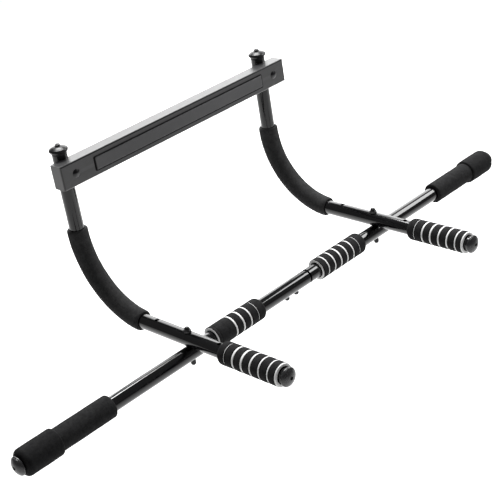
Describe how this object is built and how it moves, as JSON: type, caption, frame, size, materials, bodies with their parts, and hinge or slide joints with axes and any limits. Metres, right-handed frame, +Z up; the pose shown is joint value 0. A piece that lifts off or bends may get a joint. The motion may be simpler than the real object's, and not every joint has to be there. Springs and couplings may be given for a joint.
{
  "type": "pull up bar",
  "caption": "Doorway pull-up bar: a steel channel rests on the door trim, two bent tube arms with foam grips carry a two-part crossbar with padded ends.",
  "frame": {"origin": "centre of the bracket's underside, the face that rests on the top edge of the door trim", "axes": "+X along the crossbar to the user's right seen from behind the user facing the door, +Y from the user through the doorway to the far side of the wall, +Z up"},
  "size_m": [1.0112, 0.4125, 0.2935],
  "materials": {
    "tube_steel": "gloss",
    "bracket_steel": "satin",
    "pad_rubber": "satin",
    "plug_plastic": "satin",
    "black_foam": "matte",
    "pad_foam": "matte",
    "white_foam": "matte",
    "black_hardware": "gloss"
  },
  "bodies": {
    "frame": {"door_bracket": "bracket_steel", "wall_pad": "pad_rubber", "left_arm_tube": "tube_steel", "right_arm_tube": "tube_steel", "left_post_cap": "plug_plastic", "right_post_cap": "plug_plastic", "left_curve_foam": "black_foam", "right_curve_foam": "black_foam", "left_arm_grip": "black_foam", "right_arm_grip": "black_foam", "left_arm_grip_core": "white_foam", "right_arm_grip_core": "white_foam", "left_arm_plug": "plug_plastic", "right_arm_plug": "plug_plastic", "crossbar_left_tube": "tube_steel", "crossbar_right_tube": "tube_steel", "left_inner_grip": "black_foam", "right_inner_grip": "black_foam", "left_inner_grip_core": "white_foam", "right_inner_grip_core": "white_foam", "left_outer_foam": "black_foam", "right_outer_foam": "black_foam", "left_jamb_pad": "pad_foam", "right_jamb_pad": "pad_foam", "left_bar_plug": "plug_plastic", "right_bar_plug": "plug_plastic", "joint_screws": "black_hardware", "bracket_bolts": "black_hardware", "bracket_washers": "black_hardware", "bracket_nuts": "black_hardware"},
    "left_bolt": {"left_cross_bolt": "black_hardware"},
    "left_nut": {"left_cap_nut": "black_hardware"},
    "right_bolt": {"right_cross_bolt": "black_hardware"},
    "right_nut": {"right_cap_nut": "black_hardware"}
  },
  "joints": [
    {"name": "left_bolt_turn", "type": "hinge", "parent": "frame", "child": "left_bolt", "pos_m": [-0.201, -0.184, -0.217], "axis": [0, 0, -1], "range_deg": [0, 1800]},
    {"name": "left_nut_rise", "type": "slide", "parent": "frame", "child": "left_nut", "axis": [0, 0, 1], "range_m": [0, 0.005]},
    {"name": "right_bolt_turn", "type": "hinge", "parent": "frame", "child": "right_bolt", "pos_m": [0.201, -0.184, -0.217], "axis": [0, 0, -1], "range_deg": [0, 1800]},
    {"name": "right_nut_rise", "type": "slide", "parent": "frame", "child": "right_nut", "axis": [0, 0, 1], "range_m": [0, 0.005]}
  ],
  "couplings": [
    {"joint": "left_bolt_turn", "follows": "left_nut_rise", "rad_per_m": 6283.2},
    {"joint": "right_bolt_turn", "follows": "right_nut_rise", "rad_per_m": 6283.2}
  ]
}
